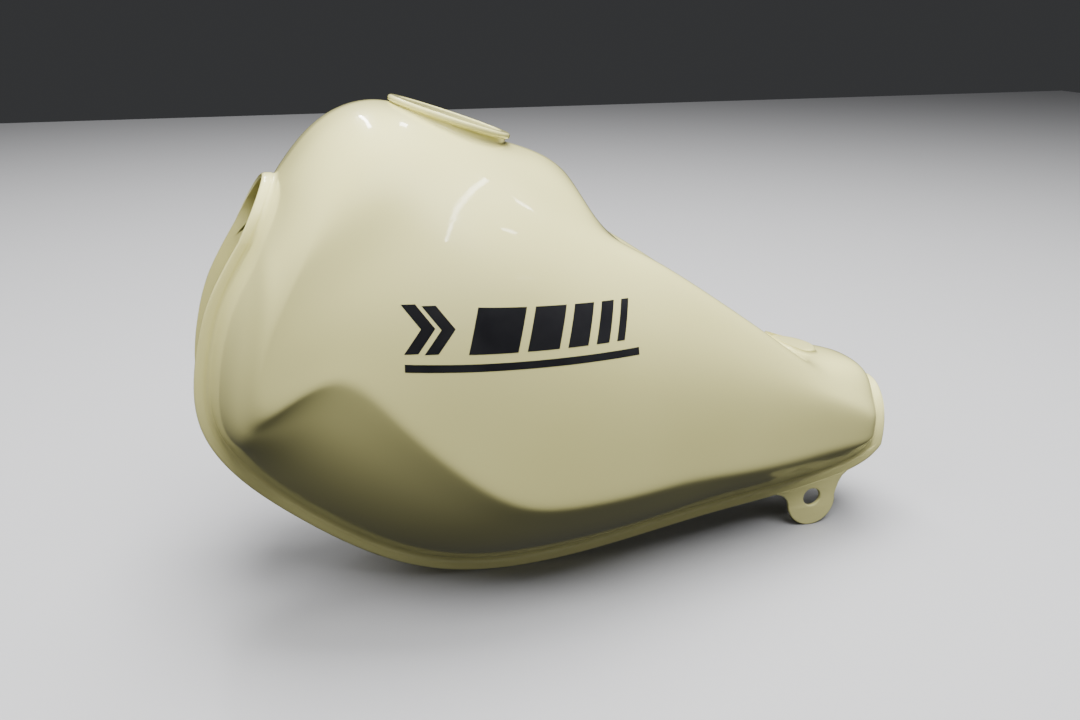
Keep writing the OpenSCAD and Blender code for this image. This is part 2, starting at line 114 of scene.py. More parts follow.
# ---- Curves and surfaces --------------------------------------------------------------------
def unit(v):
    """Vectors of length 1 along the last axis."""
    v = np.asarray(v, float)
    return v / np.maximum(np.linalg.norm(v, axis=-1, keepdims=True), 1e-12)


def smooth(t):
    """A soft step from 0 at t = 0 to 1 at t = 1."""
    t = np.clip(t, 0, 1)
    return t * t * (3 - 2 * t)


def spline_weights(t, count):
    """Clamped uniform cubic B-spline weights of `count` control points at the parameters t."""
    knots = np.concatenate([np.zeros(3), np.linspace(0, 1, count - 2), np.ones(3)])
    t = np.minimum(np.asarray(t, float), 1 - 1e-12)[:, None]
    found = ((t >= knots[:-1]) & (t < knots[1:])).astype(float)
    for k in range(1, 4):
        rise = knots[k:-1] - knots[:-k - 1]
        fall = knots[k + 1:] - knots[1:-k]
        up = np.where(rise > 0, (t - knots[:-k - 1]) / np.where(rise > 0, rise, 1), 0)
        down = np.where(fall > 0, (knots[k + 1:] - t) / np.where(fall > 0, fall, 1), 0)
        found = up * found[:, :-1] + down * found[:, 1:]
    return found


def graded(count, start, end, reach):
    """Parameters from 0 to 1, closer together by the factors start and end at the two ends;
    reach is how far from the ends that is felt."""
    s = np.linspace(0, 1, 4001)
    density = 1 + (start - 1) * np.exp(-s / reach) + (end - 1) * np.exp(-(1 - s) / reach)
    total = np.concatenate([[0], np.cumsum((density[1:] + density[:-1]) / 2)])
    return np.interp(np.linspace(0, total[-1], count), total, s)


def beside(a, b):
    """A point on the way from the belt a to its neighbour b, which tightens the crease."""
    crease = LOBE_CREASE if a[0] < LOBE_X else BELT_CREASE
    return a + (b - a) * min(0.45, crease / np.linalg.norm(b - a))


def full_rib(station):
    """A station with the extra rows on both sides of its belt."""
    p = [np.array(q, float) for q in station]
    return p[:6] + [beside(p[6], p[5]), p[6], beside(p[6], p[7])] + p[7:]


def arch_rib(crown, spring):
    """The arch that ends the shell, from its crown on the centre plane down to its leg."""
    a = np.radians(np.linspace(0, 90, 11))
    c = np.array(crown, float)
    lean = np.array(spring, float) - c
    points = c + lean * (1 - np.cos(a))[:, None]
    return np.stack([points[:, 0], W * np.sin(a), points[:, 1]], 1)


NET = np.array([arch_rib(CROWN_FRONT, SPRING_FRONT)] + [full_rib(s) for s in STATIONS]
               + [arch_rib(CROWN_REAR, SPRING_REAR)])


def skin_points(us, vs):
    """Points of the right half's outer skin: us from front to rear, vs from centre to root."""
    return np.einsum("ui,ijk,vj->uvk", spline_weights(us, NET.shape[0]), NET,
                     spline_weights(vs, NET.shape[1]))


# ---- Places ---------------------------------------------------------------------------------
def tilted_place(origin, axis):
    """A place whose Z axis lies along the axis, tilted about Y only."""
    tilt = math.atan2(axis[0], axis[2])
    return Matrix.Translation(Vector(origin)) @ Matrix.Rotation(tilt, 4, "Y")


def moved(matrix, points):
    """Points of a place's own frame, in the frame of the whole."""
    m = np.array(matrix)
    return np.asarray(points, float) @ m[:3, :3].T + m[:3, 3]


def mount(name):
    """Middle, axis and radius of one of the record's mounts."""
    found = next(m for m in frame["record"]["mounts"] if m["name"] == name)
    return np.array(found["pos_m"]) / MM, unit(found["axis"]), found["dims"]["r_mm"]


# ---- Mesh helpers ---------------------------------------------------------------------------
def piece(name, points, faces, slot, normals=None, sharp=40):
    """A mesh piece from points in millimetres, which rides on the one body and stands for the
    CAD node of its name. Without normals its faces are turned outwards and shaded smooth, up
    to the sharp angle."""
    mesh = bpy.data.meshes.new(name)
    points = np.asarray(points).reshape(-1, 3) * MM
    mesh.from_pydata(points.tolist(), [], [[int(v) for v in f] for f in faces])
    mesh.validate()
    if normals is None:
        work = bmesh.new()
        work.from_mesh(mesh)
        bmesh.ops.recalc_face_normals(work, faces=work.faces)
        work.to_mesh(mesh)
        work.free()
    mesh.polygons.foreach_set("use_smooth", [True] * len(mesh.polygons))
    if normals is None:
        mesh.set_sharp_from_angle(angle=math.radians(sharp))
    else:
        mesh.normals_split_custom_set_from_vertices(np.asarray(normals).tolist())
    mesh.update()
    mesh.materials.append(MATERIALS[slot])
    obj = bpy.data.objects.new(name, mesh)
    bpy.context.scene.collection.objects.link(obj)
    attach(obj, "root")
    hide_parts(name)
    return obj


def gather(parts):
    """Several (points, faces) as one."""
    points, faces, start = [], [], 0
    for p, f in parts:
        p = np.asarray(p).reshape(-1, 3)
        points.append(p)
        faces += [[v + start for v in face] for face in f]
        start += len(p)
    return np.concatenate(points), faces


def rounded(corners, steps):
    """A closed outline of corners (x, y, radius), each rounded off by an arc."""
    outline = []
    for k, (x, y, radius) in enumerate(corners):
        p = np.array((x, y), float)
        if radius == 0:
            outline.append(p)
            continue
        to_a = unit(np.array(corners[k - 1][:2]) - p)
        to_b = unit(np.array(corners[(k + 1) % len(corners)][:2]) - p)
        angle = math.acos(np.clip(to_a @ to_b, -1, 1))
        centre = p + unit(to_a + to_b) * radius / math.sin(angle / 2)
        reach = radius / math.tan(angle / 2)
        start, end = p + to_a * reach - centre, p + to_b * reach - centre
        turn = math.pi - angle
        for t in np.linspace(0, 1, steps + 1):
            way = math.sin((1 - t) * turn) * start + math.sin(t * turn) * end
            outline.append(centre + way / math.sin(turn))
    return outline


def ring_faces(rings, ends_open=False):
    """Faces over closed rings of points: places round the piece x points of its profile.
    With ends_open the profile's two ends are closed by flat caps instead of joined."""
    steps, n = rings.shape[:2]
    index = np.arange(steps * n).reshape(steps, n)
    after = np.roll(index, -1, 0)
    k = np.arange(n - 1 if ends_open else n)
    m = (k + 1) % n
    faces = np.stack([index[:, k], index[:, m], after[:, m], after[:, k]], 2).reshape(-1, 4).tolist()
    if ends_open:
        faces += [index[:, 0].tolist(), index[::-1, -1].tolist()]
    return faces


def lathe(matrix, profile, steps, ends_open=False):
    """Points and faces of a profile of (radius, height) run round the place's Z axis."""
    a = np.arange(steps) * 2 * np.pi / steps
    r, z = np.array(profile).T
    rings = np.stack([np.outer(np.cos(a), r), np.outer(np.sin(a), r), np.tile(z, (steps, 1))], -1)
    return moved(matrix, rings), ring_faces(rings, ends_open)


MITRE_LIMIT = 0.4


def inset(loop, distance):
    """A closed loop moved to its left by a distance, with mitred corners."""
    ahead = unit(np.roll(loop, -1, 0) - loop)
    left = np.stack([-ahead[:, 1], ahead[:, 0]], 1)
    normal = unit(left + np.roll(left, 1, 0))
    return loop + normal * distance / np.maximum((normal * left).sum(1), MITRE_LIMIT)[:, None]


def plate(outline, holes, y_low, y_high, edge, steps=4):
    """An upright plate in the XZ plane with rounded edges. The outline runs counter-clockwise
    and the holes clockwise, as seen from -Y."""
    loops = [np.array(loop, float) for loop in [outline] + holes]
    points, faces, caps = [], [], {y_low: [], y_high: []}
    start = 0
    for loop in loops:
        rows = []
        for y, way in ((y_low, 1), (y_high, -1)):
            turn = np.linspace(0, np.pi / 2, steps + 1)
            for a in turn if way == 1 else turn[::-1]:
                row = inset(loop, edge * (1 - math.sin(a)))
                rows.append((row, y + way * edge * (1 - math.cos(a))))
        rings = np.stack([np.stack([r[:, 0], np.full(len(r), y), r[:, 1]], 1) for r, y in rows], 1)
        count, n = rings.shape[:2]
        index = start + np.arange(count * n).reshape(count, n)
        after = np.roll(index, -1, 0)
        faces += np.stack([index[:, :-1], index[:, 1:], after[:, 1:], after[:, :-1]],
                          2).reshape(-1, 4).tolist()
        points.append(rings.reshape(-1, 3))
        caps[y_low].append(index[:, 0])
        caps[y_high].append(index[:, -1])
        start += count * n
    points = np.concatenate(points)
    for y, rings in caps.items():
        flat = np.concatenate(rings)
        cut = tessellate_polygon([[Vector((points[v][0], points[v][2], 0)) for v in r] for r in rings])
        faces += [[int(flat[v]) for v in triangle] for triangle in cut]
    return points, faces


def circle(centre, radius, start, end, steps, ends=True):
    """Points of an arc, in degrees; a full circle leaves its last point out."""
    a = np.radians(np.linspace(start, end, steps + 1)[:None if ends else -1])
    return [(centre[0] + radius * math.cos(t), centre[1] + radius * math.sin(t)) for t in a]


def quads(rows, cols, flip=False):
    """Faces of a grid of rows x cols points, numbered row by row."""
    i = (np.arange(rows - 1)[:, None] * cols + np.arange(cols - 1)).ravel()
    q = np.stack([i, i + 1, i + cols + 1, i + cols], 1)
    return q[:, ::-1] if flip else q


def vertex_normals(points, faces):
    """Area-weighted normals of the points of quads."""
    a, b, c, d = (points[faces[:, k]] for k in range(4))
    n = np.cross(c - a, d - b)
    out = np.zeros_like(points)
    for k in range(4):
        np.add.at(out, faces[:, k], n)
    return unit(out)


def relax(points, faces, share, rounds):
    """Moves each point towards its neighbours' mean, by its own share, and returns the result."""
    pairs = np.concatenate([faces[:, [0, 1]], faces[:, [1, 2]], faces[:, [2, 3]], faces[:, [3, 0]]])
    pairs = np.unique(np.sort(pairs, 1), axis=0)
    count = np.bincount(pairs.ravel(), minlength=len(points)).astype(float)
    for _ in range(rounds):
        total = np.zeros_like(points)
        np.add.at(total, pairs[:, 0], points[pairs[:, 1]])
        np.add.at(total, pairs[:, 1], points[pairs[:, 0]])
        points = points + share[:, None] * (total / np.maximum(count, 1)[:, None] - points)
    return points


# ---- Materials ------------------------------------------------------------------------------
def new_material(name):
    """A material, its node tree and its shader."""
    material = bpy.data.materials.new(name)
    material.use_nodes = True
    tree = material.node_tree
    return material, tree, tree.nodes["Principled BSDF"]


def noise(tree, scale, detail):
    """A noise texture on the object's own coordinates, in metres."""
    coords = tree.nodes.get("Coords") or tree.nodes.new("ShaderNodeTexCoord")
    coords.name = "Coords"
    node = tree.nodes.new("ShaderNodeTexNoise")
    node.inputs["Scale"].default_value = scale
    node.inputs["Detail"].default_value = detail
    tree.links.new(coords.outputs["Object"], node.inputs["Vector"])
    return node.outputs["Fac"]


def ramp(tree, source, low, high):
    """Colours from low to high over the middle of the source's values."""
    node = tree.nodes.new("ShaderNodeValToRGB")
    for element, place, colour in zip(node.color_ramp.elements, (0.3, 0.7), (low, high)):
        element.position = place
        element.color = (*colour, 1)
    tree.links.new(source, node.inputs["Fac"])
    return node.outputs["Color"]


def span(tree, source, low, high):
    """The source's 0 to 1 mapped onto low to high."""
    node = tree.nodes.new("ShaderNodeMapRange")
    node.inputs["To Min"].default_value = low
    node.inputs["To Max"].default_value = high
    tree.links.new(source, node.inputs["Value"])
    return node.outputs["Result"]


def bump(tree, height, distance, strength):
    """Normals of a surface raised by the height, by at most a distance in metres."""
    node = tree.nodes.new("ShaderNodeBump")
    node.inputs["Distance"].default_value = distance
    node.inputs["Strength"].default_value = strength
    tree.links.new(height, node.inputs["Height"])
    return node.outputs["Normal"]


def cream_paint():
    """Gloss enamel: a faint drift of tone, fine orange peel and a clear top layer."""
    material, tree, shader = new_material("cream_paint")
    drift = noise(tree, scale=9, detail=2)
    tone = ramp(tree, drift, (0.715, 0.675, 0.280), (0.745, 0.705, 0.305))
    tree.links.new(tone, shader.inputs["Base Color"])
    wear = noise(tree, scale=22, detail=1)
    tree.links.new(span(tree, wear, 0.26, 0.32), shader.inputs["Roughness"])
    peel = bump(tree, noise(tree, scale=420, detail=1), distance=0.00004, strength=0.3)
    tree.links.new(peel, shader.inputs["Normal"])
    tree.links.new(peel, shader.inputs["Coat Normal"])
    shader.inputs["Specular IOR Level"].default_value = 0.5
    shader.inputs["Coat Weight"].default_value = 1.0
    shader.inputs["Coat Roughness"].default_value = 0.05
    shader.inputs["Coat IOR"].default_value = 1.5
    return material


def bare_steel():
    """The unpainted inside of the sheet: dull steel with soft darker clouds."""
    material, tree, shader = new_material("bare_steel")
    cloud = noise(tree, scale=45, detail=5)
    tone = ramp(tree, cloud, (0.16, 0.15, 0.13), (0.30, 0.29, 0.27))
    tree.links.new(tone, shader.inputs["Base Color"])
    tree.links.new(span(tree, cloud, 0.35, 0.6), shader.inputs["Roughness"])
    grain = bump(tree, noise(tree, scale=900, detail=3), distance=0.00002, strength=0.5)
    tree.links.new(grain, shader.inputs["Normal"])
    shader.inputs["Metallic"].default_value = 0.85
    return material


def plated_steel():
    """Zinc-plated steel with fine scratches and a slightly clouded sheen."""
    material, tree, shader = new_material("plated_steel")
    cloud = noise(tree, scale=70, detail=4)
    tone = ramp(tree, cloud, (0.50, 0.49, 0.44), (0.68, 0.67, 0.62))
    tree.links.new(tone, shader.inputs["Base Color"])
    tree.links.new(span(tree, cloud, 0.22, 0.42), shader.inputs["Roughness"])
    scratches = bump(tree, noise(tree, scale=1500, detail=4), distance=0.00001, strength=0.5)
    tree.links.new(scratches, shader.inputs["Normal"])
    shader.inputs["Metallic"].default_value = 1.0
    return material


def black_film():
    """Black vinyl: nearly even tone, a fine grain and a softer gloss than the paint."""
    material, tree, shader = new_material("black_film")
    drift = noise(tree, scale=60, detail=3)
    tone = ramp(tree, drift, (0.010, 0.010, 0.012), (0.017, 0.017, 0.019))
    tree.links.new(tone, shader.inputs["Base Color"])
    tree.links.new(span(tree, drift, 0.26, 0.36), shader.inputs["Roughness"])
    grain = bump(tree, noise(tree, scale=1800, detail=2), distance=0.000008, strength=0.4)
    tree.links.new(grain, shader.inputs["Normal"])
    return material


# The paint, plated steel and film by their slots, and the steel inside the shells
MATERIALS = {"cream_paint": cream_paint()}
BARE_STEEL = bare_steel()
MATERIALS["plated_steel"] = plated_steel()
MATERIALS["black_film"] = black_film()


# ---- Fittings -------------------------------------------------------------------------------
# Places and the other radii come from the frame. The collar's radius is written out, since its
# box in the frame is 0.01 mm narrower. The other sizes are the CAD source's, but the thread and
# the ear's faces and rear side, which are drawn more finely here, have their own.
COLLAR_R = 35.5
COLLAR_DEPTH = 9.0
COLLAR_TOP = 2.5
COLLAR_WALL = 2.5
BEAD = 3.5
NECK_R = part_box("filler_neck")[1].y / MM
NECK_WALL = 1.5
NECK_LENGTH = 26.0
LIP_DROP = 5.0
LIP_T = 1.5
NECK_BORE = NECK_R - NECK_WALL
COLLAR_WALL_R = NECK_R + COLLAR_WALL
lip_pos, filler_axis, LIP_R = mount("filler_mouth")
FILLER = tilted_place(lip_pos - filler_axis * (COLLAR_TOP - LIP_DROP + LIP_T / 2), filler_axis)

BOSS_TOP = 3.5
BOSS_DEPTH = 9.0
boss_pos, boss_axis, BOSS_R = mount("tail_boss_top")
BOSS = tilted_place(boss_pos - boss_axis * BOSS_TOP, boss_axis)

THREAD_PITCH = 1.5
THREAD_DEPTH = 0.8
bung_pos, _, BUNG_BORE = mount("tap_thread")
bung_low, bung_high = (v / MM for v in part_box("outlet_bung"))
BUNG_R = (bung_high.x - bung_low.x) / 2
BUNG = Matrix.Translation(Vector((bung_pos[0], bung_pos[1], 0)))

EAR_R = 17.0
EAR_FILLET = 10.0
EAR_FILLET_Z = 14.6
EAR_REAR = 192.0
# The ear's rear side: how far behind its round end, and the height
EAR_SIDE = [(0.8, 24.0), (2.2, 28.6), (4.6, 33.0)]
# Distance from the flange's root at which the ear's top edge lies
EAR_LAP = 6.5
EAR_INNER = TUNNEL_Y - SHEET - 0.1
EAR_OUTER = W + 0.64

channel_pos, _, CHANNEL_R = mount("front_buffers")
CHANNEL_WALL = 3.0
CHANNEL_LEG = 18.0
CHANNEL_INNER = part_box("front_channel_right")[0].y / MM


# ---- Pressed shells -------------------------------------------------------------------------
U = graded(231, 3.2, 3.2, 0.03)
V = graded(141, 1.0, 9.0, 0.035)
NU, NV = len(U), len(V)
# The flange's outer face, from its root to its edge: distance out and height over the sheet.
# The step near the root is where the flange was set in the press; the edge is rounded.
FLANGE_FACE = [(0.7, 0), (1.4, 0), (2.0, 0.05), (2.5, 0.3), (3.0, 0.5), (3.8, 0.55), (4.8, 0.58),
               (5.8, 0.56), (6.7, 0.48), (7.3, 0.3), (7.7, 0.05), (7.93, -0.25)]
FLANGE_EDGE = (8.0, -0.6)
FLANGE_BACK = [(7.85, -0.9), (7.4, -1.0), (6.0, -1.0), (4.0, -1.0), (2.5, -1.0), (1.4, -1.0),
               (0.7, -1.0)]
# The round corner at the root: how many rows of the body it takes in, the share by which the
# root and the flange's first two rows drift, and how often
FILLET_ROWS = 4
ROOT_SHARE = 0.5
FLANGE_SHARES = (0.35, 0.15)
FILLET_ROUNDS = 14
# Ribs of the CAD's shell, and how many the flange takes to turn into the front and rear arch
LAST_RIB = 44
FRONT_TURN = 6
REAR_TURN = 3


def along_root():
    """Unit tangents of the flange root, front to rear."""
    h = 1e-4
    ahead = skin_points(np.minimum(U + h, 1), [1.0])[:, 0]
    behind = skin_points(np.maximum(U - h, 0), [1.0])[:, 0]
    return unit(ahead - behind)


def rim_frame(skin):
    """The rim's grid places, and the flange's way out and its lateral way at each."""
    places = [(0, j) for j in range(NV)] + [(i, NV - 1) for i in range(1, NU)]
    places += [(NU - 1, j) for j in range(NV - 2, -1, -1)]
    tangents = along_root()
    out, lateral = [], []
    for i, j in places:
        p = skin[i, j]
        if i == 0:
            out.append((-1, 0, 0))
            lateral.append((0, p[1], max(0, p[2] - SPRING_FRONT[1])))
        elif i == NU - 1:
            out.append((1, 0, 0))
            lateral.append((0, p[1], max(0, p[2] - SPRING_REAR[1])))
        else:
            t = tangents[i]
            square = unit((t[2], 0, -t[0]))
            front = smooth(1 - U[i] * LAST_RIB / FRONT_TURN)
            rear = smooth(1 - (1 - U[i]) * LAST_RIB / REAR_TURN)
            square = square + (np.array((-1, 0, 0)) - square) * front
            square = square + (np.array((1, 0, 0)) - square) * rear
            out.append(square)
            lateral.append((0, 1, 0))
    return places, unit(out), unit(lateral)


def hole_mask(points, matrix, radius, depth):
    """Which points lie inside an upright cylinder of the place."""
    local = moved(matrix.inverted(), points)
    return (np.hypot(local[:, 0], local[:, 1]) < radius) & (np.abs(local[:, 2]) < depth)


def build_skin():
    """Grid, rim and relaxed outer sheet of the right half, shared by both shells."""
    skin = skin_points(U, V)
    places, out, lateral = rim_frame(skin)
    face = FLANGE_FACE + [FLANGE_EDGE]
    count = NU * NV
    strips = np.array([[skin[i, j] + d * s + h * l for s, h in face]
                       for (i, j), d, l in zip(places, out, lateral)])
    points = np.concatenate([skin.reshape(-1, 3), strips.reshape(-1, 3)])
    grid = quads(NU, NV, flip=True)
    rim = np.array([i * NV + j for i, j in places])
    columns = np.concatenate([rim[:, None], count + np.arange(strips.shape[0] * strips.shape[1])
                              .reshape(strips.shape[:2])], 1)
    a, b = columns[:-1], columns[1:]
    strip_faces = np.stack([b[:, :-1], b[:, 1:], a[:, 1:], a[:, :-1]], 2).reshape(-1, 4)
    faces = np.concatenate([grid, strip_faces])
    # The fillet between body and flange: points near the root drift to a round corner
    share = np.zeros(len(points))
    near = np.zeros((NU, NV))
    for k in range(FILLET_ROWS + 1):
        value = ROOT_SHARE * (1 - k / (FILLET_ROWS + 1))
        near[k, :] = np.maximum(near[k, :], value)
        near[NU - 1 - k, :] = np.maximum(near[NU - 1 - k, :], value)
        near[:, NV - 1 - k] = np.maximum(near[:, NV - 1 - k], value)
    share[:count] = near.ravel()
    share[columns[:, 1]], share[columns[:, 2]] = FLANGE_SHARES
    points = relax(points, faces, share, FILLET_ROUNDS)
    centre = np.concatenate([np.arange(NU) * NV, columns[0, 1:], columns[-1, 1:]])
    points[centre, 1] = 0
    normals = vertex_normals(points, faces)
    normals[centre, 1] = 0
    return {"points": points, "faces": faces, "normals": unit(normals), "columns": columns,
            "grid": grid, "strips": strip_faces, "out": out, "lateral": lateral,
            "places": places, "root": np.array([skin[i, j] for i, j in places])}


def shell(name, side, sheet, holes):
    """One half shell with its wall thickness, its flange and its holes."""
    outer, normals, columns = sheet["points"], sheet["normals"], sheet["columns"]
    count = NU * NV
    inner = outer[:count] - SHEET * normals[:count]
    inner[np.arange(NU) * NV, 1] = 0
    back = np.array([[p + d * s + h * l for s, h in FLANGE_BACK]
                     for p, d, l in zip(sheet["root"], sheet["out"], sheet["lateral"])])
    n_outer = len(outer)
    points = np.concatenate([outer, inner, back.reshape(-1, 3)])
    back_index = n_outer + count + np.arange(back.shape[0] * back.shape[1]).reshape(back.shape[:2])
    inner_rim = n_outer + columns[:, :1]
    tail = np.concatenate([columns[:, -1:], back_index, inner_rim], 1)
    a, b = tail[:-1], tail[1:]
    back_faces = np.stack([b[:, :-1], b[:, 1:], a[:, 1:], a[:, :-1]], 2).reshape(-1, 4)
    gone = np.zeros(len(outer), bool)
    for matrix, radius, depth in holes:
        gone[:count] |= hole_mask(outer[:count], matrix, radius, depth)
    kept = sheet["grid"][~gone[sheet["grid"]].any(1)]
    lining = kept[:, ::-1] + n_outer
    # Walls round each hole and along the centre plane, but none along the flange
    edges = {(int(q[k]), int(q[(k + 1) % 4])) for q in kept for k in range(4)}
    on_rim = set(int(c) for c in columns[:, 0])
    walls = [(b, a, a + n_outer, b + n_outer) for a, b in edges
             if (b, a) not in edges and not (a in on_rim and b in on_rim)]
    caps = [np.concatenate([columns[k], back_index[k], inner_rim[k]])[::turn]
            for k, turn in ((0, -1), (-1, 1))]
    faces = [tuple(f) for f in np.concatenate([kept, sheet["strips"], back_faces])]
    faces += walls + [tuple(c) for c in caps] + [tuple(f) for f in lining]
    rough = vertex_normals(points, np.concatenate([back_faces, sheet["strips"], lining]))
    normals = np.concatenate([normals, -normals[:count], rough[n_outer + count:]])
    if side < 0:
        points, normals = points * (1, -1, 1), normals * (1, -1, 1)
        faces = [f[::-1] for f in faces]
    used = np.zeros(len(points), bool)
    used[np.concatenate([np.array(f) for f in faces])] = True
    renumber = np.cumsum(used) - 1
    faces = [renumber[list(f)] for f in faces]
    obj = piece(name, points[used], faces, "cream_paint", normals=normals[used])
    obj.data.materials.append(BARE_STEEL)
    inside = [0] * (len(faces) - len(lining)) + [1] * len(lining)
    obj.data.polygons.foreach_set("material_index", inside)
    return obj


sheet = build_skin()
# Each hole: its place, its radius, a little less than the fitting's, and how far it reaches
filler_hole = (FILLER, COLLAR_WALL_R - 1.2, 40)
boss_hole = (BOSS, BOSS_R - 1.2, 15)
bung_hole = (Matrix.Translation(Vector(bung_pos)), BUNG_R - 1.0, 45)
shell("shell_left", -1, sheet, [filler_hole, boss_hole])
shell("shell_right", 1, sheet, [filler_hole, boss_hole, bung_hole])


# ---- Tunnel panel ---------------------------------------------------------------------------
ROOF_DROP = SHEET + LAP_GAP
ROOF = [(-160, 244), (-150, 244), (-132, 231), (-100, 208), (-50, 176), (0, 146), (60, 116),
        (120, 96), (160, 89), (190, 90), (204, 90)]
ARCH_STEPS = 20
LEG_STEPS = 10
# How far each end arch of the tunnel runs straight on under the skin before it becomes the roof
ARCH_STRAIGHT = 4


def flange_edge(distance):
    """The line of the left leg's flange at a distance from its root, in X and Z."""
    legs = [k for k, (i, j) in enumerate(sheet["places"]) if j == NV - 1]
    return (sheet["root"][legs] + sheet["out"][legs] * distance)[:, [0, 2]]


def tunnel_sheet(depth):
    """Half ribs of the tunnel, crown to flange edge, at a depth below its upper face. As in the
    CAD, the first two ribs and the last two carry the end arches."""
    rib = U * LAST_RIB
    edge = flange_edge(FLANGE_WIDTH)
    r = TUNNEL_Y - depth
    a = np.linspace(0, np.pi / 2, ARCH_STEPS + 1)
    rise, reach = 1 - np.cos(a), r * np.sin(a)
    t = np.clip((rib - 1) / (LAST_RIB - 2), 0, 1)
    line = spline_weights(t, len(ROOF)) @ np.array(ROOF, float) - (0, ROOF_DROP)
    step = (edge - line) * (TUNNEL_Y / np.abs(edge[:, 1] - line[:, 1]))[:, None]
    x = line[:, :1] + step[:, :1] * rise
    z = line[:, 1:] - depth + (step[:, 1:] + depth) * rise
    for crown, spring, way, along in ((CROWN_FRONT, SPRING_FRONT, -1, rib),
                                      (CROWN_REAR, SPRING_REAR, 1, LAST_RIB - rib)):
        shift = way * (FLANGE_WIDTH - (FLANGE_WIDTH + ARCH_STRAIGHT) * np.clip(along, 0, 1))
        share = np.clip(2 - along, 0, 1)[:, None]
        arch_x = crown[0] + shift[:, None] + (spring[0] - crown[0]) * rise
        arch_z = crown[1] - ROOF_DROP - depth - r * rise
        x, z = x + (arch_x - x) * share, z + (arch_z - z) * share
    ribs = np.stack([x, np.tile(reach, (NU, 1)), z], 2)
    foot = np.stack([edge[:, 0], np.full(NU, r), edge[:, 1]], 1)[:, None]
    down = (np.arange(1, LEG_STEPS + 1) / LEG_STEPS)[:, None]
    return np.concatenate([ribs, ribs[:, -1:] + (foot - ribs[:, -1:]) * down], 1)


def tunnel_panel():
    """Both faces of the tunnel's sheet, joined round their edges."""
    both = []
    for depth in (0, SHEET):
        half = tunnel_sheet(depth)
        both.append(np.concatenate([half[:, :0:-1] * (1, -1, 1), half], 1))
    rows, cols = both[0].shape[:2]
    n = rows * cols
    top = quads(rows, cols)
    faces = top.tolist() + (top[:, ::-1] + n).tolist()
    grid = np.arange(n).reshape(rows, cols)
    border = np.concatenate([grid[0, :-1], grid[:-1, -1], grid[-1, :0:-1], grid[:0:-1, 0]])
    after = np.roll(border, -1)
    faces += np.stack([border, border + n, after + n, after], 1).tolist()
    piece("tunnel_panel", np.concatenate([b.reshape(-1, 3) for b in both]), faces,
          "cream_paint", sharp=50)


tunnel_panel()


# ---- Filler, boss and bung ------------------------------------------------------------------
def skin_tree():
    """The outer skin of both sides, to cast rays at."""
    half = sheet["points"][:NU * NV]
    faces = sheet["grid"].tolist()
    points, faces = gather([(half, faces), (half * (1, -1, 1), faces)])
    return BVHTree.FromPolygons(points.tolist(), faces)


SKIN_TREE = skin_tree()
# How far from a place the rays to the skin start
RAY_START = 60


def height_on_skin(matrix, radius, angle, below):
    """Height of the skin in a place's own frame, found along the place's axis, from above or
    from below."""
    start = -RAY_START if below else RAY_START
    local = Vector((radius * math.cos(angle), radius * math.sin(angle), start))
    way = matrix.to_3x3() @ Vector((0, 0, -start))
    hit = SKIN_TREE.ray_cast(matrix @ local, way.normalized())[0]
    return (matrix.inverted() @ hit).z


def weld_fillet(matrix, radius, size, steps, below=False):
    """The hollow fillet of weld and paint round a fitting, from its wall out to the skin."""
    sink = 0.4
    way = -1 if below else 1
    rings = []
    for angle in np.arange(steps) * 2 * np.pi / steps:
        profile = []
        for t in np.radians(np.linspace(0, 90, 7)):
            r = radius + size * (1 - math.cos(t))
            lift = size * (1 - math.sin(t))
            profile.append((r, height_on_skin(matrix, r, angle, below) + way * lift))
        profile.append((radius + size, profile[-1][1] - way * sink))
        profile.append((radius - sink, height_on_skin(matrix, radius, angle, below) - way * sink))
        profile.append((radius - sink, profile[0][1]))
        rings.append([(r * math.cos(angle), r * math.sin(angle), z) for r, z in profile])
    rings = moved(matrix, rings)
    return rings, ring_faces(rings)


def filler_collar():
    """The collar: a plain wall and, over it, the outward bead that covers the neck's edge."""
    under = COLLAR_TOP - BEAD
    profile = rounded([(NECK_R, -COLLAR_DEPTH, 0), (COLLAR_WALL_R, -COLLAR_DEPTH, 0),
                       (COLLAR_WALL_R, under, 0.5), (COLLAR_R, under, BEAD * 0.48),
                       (COLLAR_R, COLLAR_TOP, BEAD * 0.48), (NECK_BORE, COLLAR_TOP, 1.0),
                       (NECK_BORE, under, 0), (NECK_R, under, 0)], 7)
    parts = [lathe(FILLER, profile, 192), weld_fillet(FILLER, COLLAR_WALL_R, 1.2, 192)]
    piece("filler_collar", *gather(parts), "cream_paint")


def filler_neck():
    """The neck sleeve under the bead, with an eased lower edge."""
    play = 0.05
    low, high = COLLAR_TOP - NECK_LENGTH, COLLAR_TOP - BEAD - play
    profile = rounded([(NECK_BORE, low, 0.4), (NECK_R - play, low, 0.4),
                       (NECK_R - play, high, 0.2), (NECK_BORE, high, 0.2)], 5)
    piece("filler_neck", *lathe(FILLER, profile, 192), "plated_steel")


